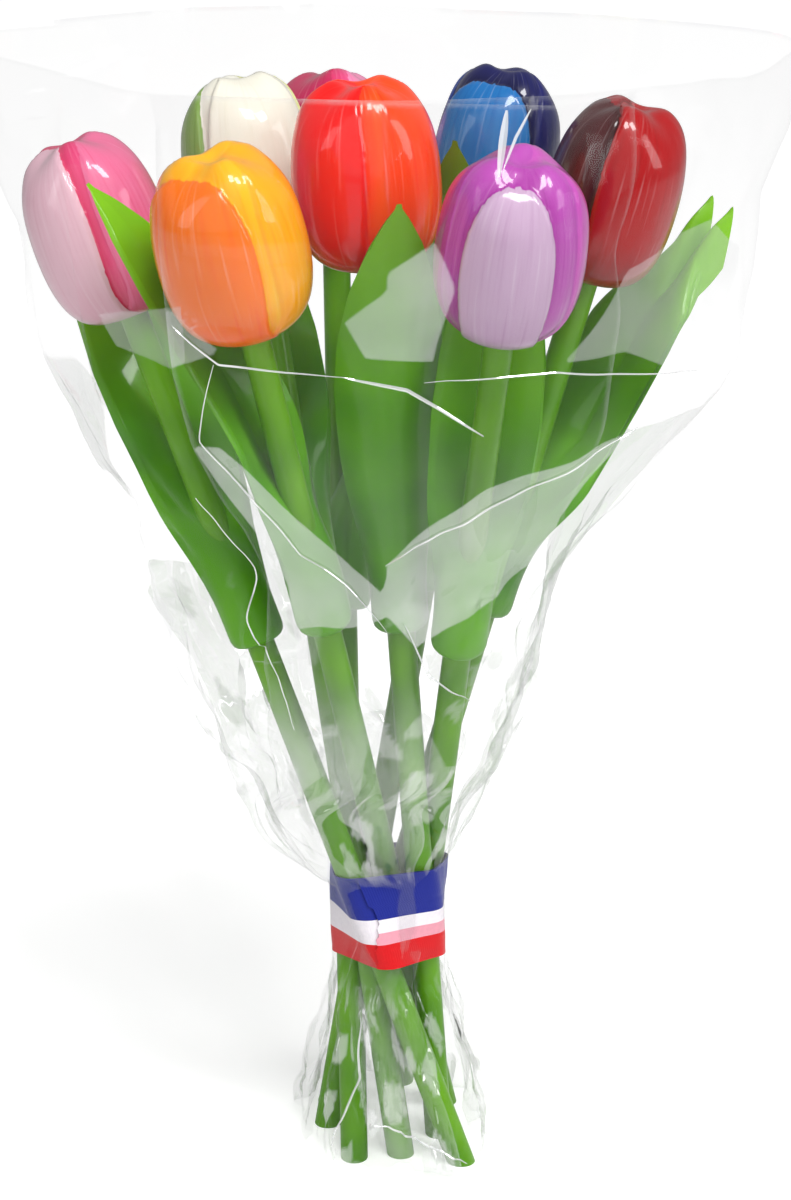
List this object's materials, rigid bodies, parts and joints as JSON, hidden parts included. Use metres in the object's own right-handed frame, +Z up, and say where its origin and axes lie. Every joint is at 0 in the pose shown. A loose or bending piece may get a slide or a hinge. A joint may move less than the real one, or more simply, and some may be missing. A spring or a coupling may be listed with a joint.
{
  "type": "wooden tulip bouquet",
  "caption": "Bouquet of painted wooden tulips on straight stems, in a clear film sleeve tied at its neck by a striped ribbon; each tulip can be drawn up out of the tie.",
  "frame": {"origin": "centre of the bouquet's box, on the floor that the stem ends stand on", "axes": "+Z up, -Y towards the front of the bouquet as pictured, +X to its right"},
  "size_m": [0.2468, 0.2072, 0.3484],
  "materials": {
    "pink_painted_wood": "gloss lacquer",
    "yellow_painted_wood": "gloss lacquer",
    "scarlet_painted_wood": "gloss lacquer",
    "lilac_painted_wood": "gloss lacquer",
    "crimson_painted_wood": "gloss lacquer",
    "blue_painted_wood": "gloss lacquer",
    "rose_painted_wood": "gloss lacquer",
    "white_painted_wood": "gloss lacquer",
    "green_painted_wood": "gloss lacquer",
    "clear_film": "clear gloss",
    "striped_ribbon": "satin"
  },
  "bodies": {
    "wrap": {"film_sleeve": "clear_film", "tie_ribbon": "striped_ribbon"},
    "pink_tulip": {"pink_tulip_head": "pink_painted_wood", "pink_tulip_stem": "green_painted_wood", "pink_tulip_leaf": "green_painted_wood"},
    "yellow_tulip": {"yellow_tulip_head": "yellow_painted_wood", "yellow_tulip_stem": "green_painted_wood", "yellow_tulip_leaf": "green_painted_wood"},
    "scarlet_tulip": {"scarlet_tulip_head": "scarlet_painted_wood", "scarlet_tulip_stem": "green_painted_wood", "scarlet_tulip_leaf": "green_painted_wood"},
    "lilac_tulip": {"lilac_tulip_head": "lilac_painted_wood", "lilac_tulip_stem": "green_painted_wood", "lilac_tulip_leaf": "green_painted_wood"},
    "crimson_tulip": {"crimson_tulip_head": "crimson_painted_wood", "crimson_tulip_stem": "green_painted_wood", "crimson_tulip_leaf": "green_painted_wood"},
    "blue_tulip": {"blue_tulip_head": "blue_painted_wood", "blue_tulip_stem": "green_painted_wood", "blue_tulip_leaf": "green_painted_wood"},
    "rose_tulip": {"rose_tulip_head": "rose_painted_wood", "rose_tulip_stem": "green_painted_wood", "rose_tulip_leaf": "green_painted_wood"},
    "white_tulip": {"white_tulip_head": "white_painted_wood", "white_tulip_stem": "green_painted_wood", "white_tulip_leaf": "green_painted_wood"}
  },
  "joints": [
    {"name": "pink_tulip_slide", "type": "slide", "parent": "wrap", "child": "pink_tulip", "axis": [-0.3424, 0.111, 0.933], "range_m": [0, 0.085], "deforming": ["film_sleeve"]},
    {"name": "yellow_tulip_slide", "type": "slide", "parent": "wrap", "child": "yellow_tulip", "axis": [-0.1946, -0.184, 0.9635], "range_m": [0, 0.085], "deforming": ["film_sleeve"]},
    {"name": "scarlet_tulip_slide", "type": "slide", "parent": "wrap", "child": "scarlet_tulip", "axis": [-0.0698, 0, 0.9976], "range_m": [0, 0.085], "deforming": ["film_sleeve"]},
    {"name": "lilac_tulip_slide", "type": "slide", "parent": "wrap", "child": "lilac_tulip", "axis": [0.0975, -0.2432, 0.9651], "range_m": [0, 0.085], "deforming": ["film_sleeve"]},
    {"name": "crimson_tulip_slide", "type": "slide", "parent": "wrap", "child": "crimson_tulip", "axis": [0.2696, 0.0096, 0.9629], "range_m": [0, 0.085], "deforming": ["film_sleeve"]},
    {"name": "blue_tulip_slide", "type": "slide", "parent": "wrap", "child": "blue_tulip", "axis": [0.1651, 0.1358, 0.9769], "range_m": [0, 0.085], "deforming": ["film_sleeve"]},
    {"name": "rose_tulip_slide", "type": "slide", "parent": "wrap", "child": "rose_tulip", "axis": [-0.019, 0.3082, 0.9511], "range_m": [0, 0.085], "deforming": ["film_sleeve"]},
    {"name": "white_tulip_slide", "type": "slide", "parent": "wrap", "child": "white_tulip", "axis": [-0.1451, 0.1734, 0.9741], "range_m": [0, 0.085], "deforming": ["film_sleeve"]}
  ]
}
